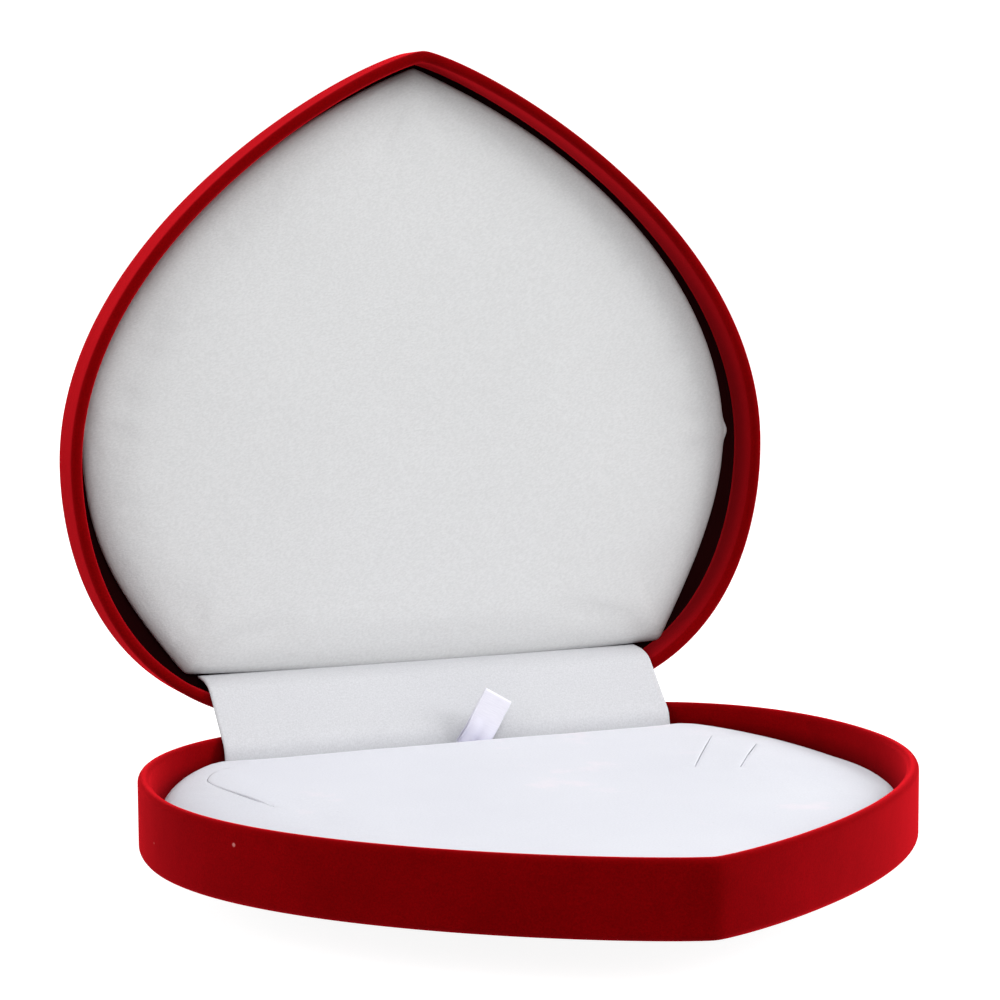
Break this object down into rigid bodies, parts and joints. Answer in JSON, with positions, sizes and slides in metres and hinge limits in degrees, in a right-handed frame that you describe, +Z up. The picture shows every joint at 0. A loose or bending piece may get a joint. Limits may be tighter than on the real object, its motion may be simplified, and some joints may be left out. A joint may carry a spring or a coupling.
{
  "type": "heart-shaped jewellery box",
  "caption": "Open heart-shaped velvet jewellery box with a hinged padded lid, a lift-out slotted display pad and a small ribbon pull.",
  "frame": {"origin": "middle of the flat underside of the base, on the surface the box stands on", "axes": "+Z up, +Y from the tip of the heart towards the hinge, +X to the right seen from the tip"},
  "size_m": [0.18, 0.1806, 0.1797],
  "materials": {
    "red_velvet": "deep red short-pile velvet, soft sheen at grazing angles",
    "white_velvet": "white short-pile velvet with a slight lavender cast",
    "lining_satin": "light grey-white padded satin-finish sheet with a fine pebbled grain",
    "strip_paper": "pale matte textured paper strip",
    "ribbon_satin": "white satin ribbon",
    "tray_plastic": "moulded tray, dark red, satin",
    "card": "grey-brown chipboard",
    "foam": "off-white soft foam",
    "felt": "red felt sheet glued to the underside",
    "hinge_steel": "zinc-plated stamped steel"
  },
  "bodies": {
    "base": {"base_velvet": "red_velvet", "base_shell": "tray_plastic", "base_bottom_sheet": "felt", "hinge_leaf_base": "hinge_steel", "hinge_pin": "hinge_steel", "detent_spring": "hinge_steel", "spring_rivet": "hinge_steel", "base_rivet_left": "hinge_steel", "base_rivet_right": "hinge_steel", "hinge_cover": "strip_paper"},
    "insert": {"insert_cover": "white_velvet", "insert_board": "card", "insert_foam": "foam", "insert_riser_left": "foam", "insert_riser_right": "foam", "insert_riser_back": "foam", "insert_riser_front": "foam", "pull_ribbon": "ribbon_satin"},
    "lid": {"lid_velvet": "red_velvet", "lid_shell": "tray_plastic", "lining_cover": "lining_satin", "lining_board": "card", "lining_foam": "foam", "hinge_leaf_lid": "hinge_steel", "lid_rivet_left": "hinge_steel", "lid_rivet_right": "hinge_steel"}
  },
  "joints": [
    {"name": "lid_hinge", "type": "hinge", "parent": "base", "child": "lid", "pos_m": [0, 0.0812, 0.01735], "axis": [1, 0, 0], "range_deg": [0, 91.5], "deforming": ["hinge_cover", "pull_ribbon"]},
    {"name": "insert_lift", "type": "slide", "parent": "base", "child": "insert", "axis": [0, 0, -1], "range_m": [-0.008, 0]}
  ]
}
